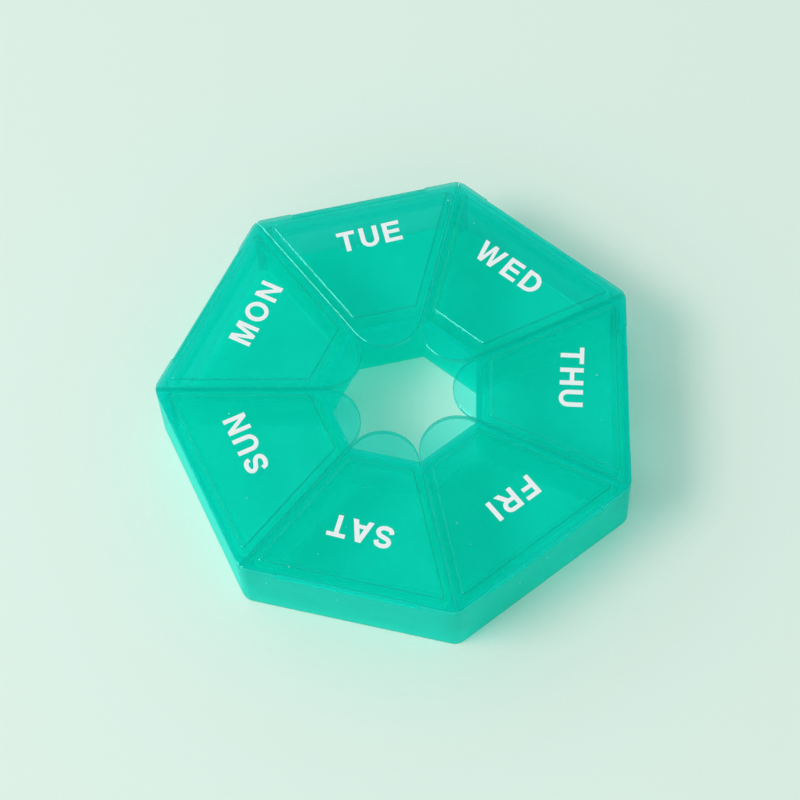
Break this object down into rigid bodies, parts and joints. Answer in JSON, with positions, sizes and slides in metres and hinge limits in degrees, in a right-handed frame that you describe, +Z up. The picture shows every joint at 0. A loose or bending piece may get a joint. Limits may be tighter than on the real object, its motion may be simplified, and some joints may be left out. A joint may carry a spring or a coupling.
{
  "type": "weekly pill box",
  "caption": "Seven-sided ring pill box of clear green plastic with a hinged lid and finger tab for each day round an open centre.",
  "frame": {"origin": "middle of the footprint's bounding box, on the surface the box stands on", "axes": "+Z up; -Y is the way the Saturday wall faces and +Y runs to the corner between Tuesday and Wednesday; +X completes the frame and lies along the Saturday wall; the ring's own centre is 2.33 mm towards -Y from the origin, because a seven-sided outline isn't the same both ways"},
  "size_m": [0.096, 0.0938, 0.0167],
  "materials": {
    "tray_plastic": "clear tinted polypropylene, smooth moulded",
    "lid_plastic": "clear tinted polypropylene, polished",
    "film_plastic": "thin clear tinted polypropylene film"
  },
  "bodies": {
    "tray": {"tray": "tray_plastic", "hinge_sun": "film_plastic", "hinge_mon": "film_plastic", "hinge_tue": "film_plastic", "hinge_wed": "film_plastic", "hinge_thu": "film_plastic", "hinge_fri": "film_plastic", "hinge_sat": "film_plastic"},
    "lid_sun": {"lid_sun": "lid_plastic"},
    "lid_mon": {"lid_mon": "lid_plastic"},
    "lid_tue": {"lid_tue": "lid_plastic"},
    "lid_wed": {"lid_wed": "lid_plastic"},
    "lid_thu": {"lid_thu": "lid_plastic"},
    "lid_fri": {"lid_fri": "lid_plastic"},
    "lid_sat": {"lid_sat": "lid_plastic"}
  },
  "joints": [
    {"name": "lid_sun_hinge", "type": "hinge", "parent": "tray", "child": "lid_sun", "pos_m": [-0.03499, -0.03023, 0.01505], "axis": [0.6235, -0.7818, 0], "range_deg": [0, 180], "deforming": ["hinge_sun"]},
    {"name": "lid_mon_hinge", "type": "hinge", "parent": "tray", "child": "lid_mon", "pos_m": [-0.04363, 0.00763, 0.01505], "axis": [-0.2225, -0.9749, 0], "range_deg": [0, 180], "deforming": ["hinge_mon"]},
    {"name": "lid_tue_hinge", "type": "hinge", "parent": "tray", "child": "lid_tue", "pos_m": [-0.01942, 0.03799, 0.01505], "axis": [-0.901, -0.4339, 0], "range_deg": [0, 180], "deforming": ["hinge_tue"]},
    {"name": "lid_wed_hinge", "type": "hinge", "parent": "tray", "child": "lid_wed", "pos_m": [0.01942, 0.03799, 0.01505], "axis": [-0.901, 0.4339, 0], "range_deg": [0, 180], "deforming": ["hinge_wed"]},
    {"name": "lid_thu_hinge", "type": "hinge", "parent": "tray", "child": "lid_thu", "pos_m": [0.04363, 0.00763, 0.01505], "axis": [-0.2225, 0.9749, 0], "range_deg": [0, 180], "deforming": ["hinge_thu"]},
    {"name": "lid_fri_hinge", "type": "hinge", "parent": "tray", "child": "lid_fri", "pos_m": [0.03499, -0.03023, 0.01505], "axis": [0.6235, 0.7818, 0], "range_deg": [0, 180], "deforming": ["hinge_fri"]},
    {"name": "lid_sat_hinge", "type": "hinge", "parent": "tray", "child": "lid_sat", "pos_m": [0, -0.04708, 0.01505], "axis": [1, 0, 0], "range_deg": [0, 180], "deforming": ["hinge_sat"]}
  ]
}
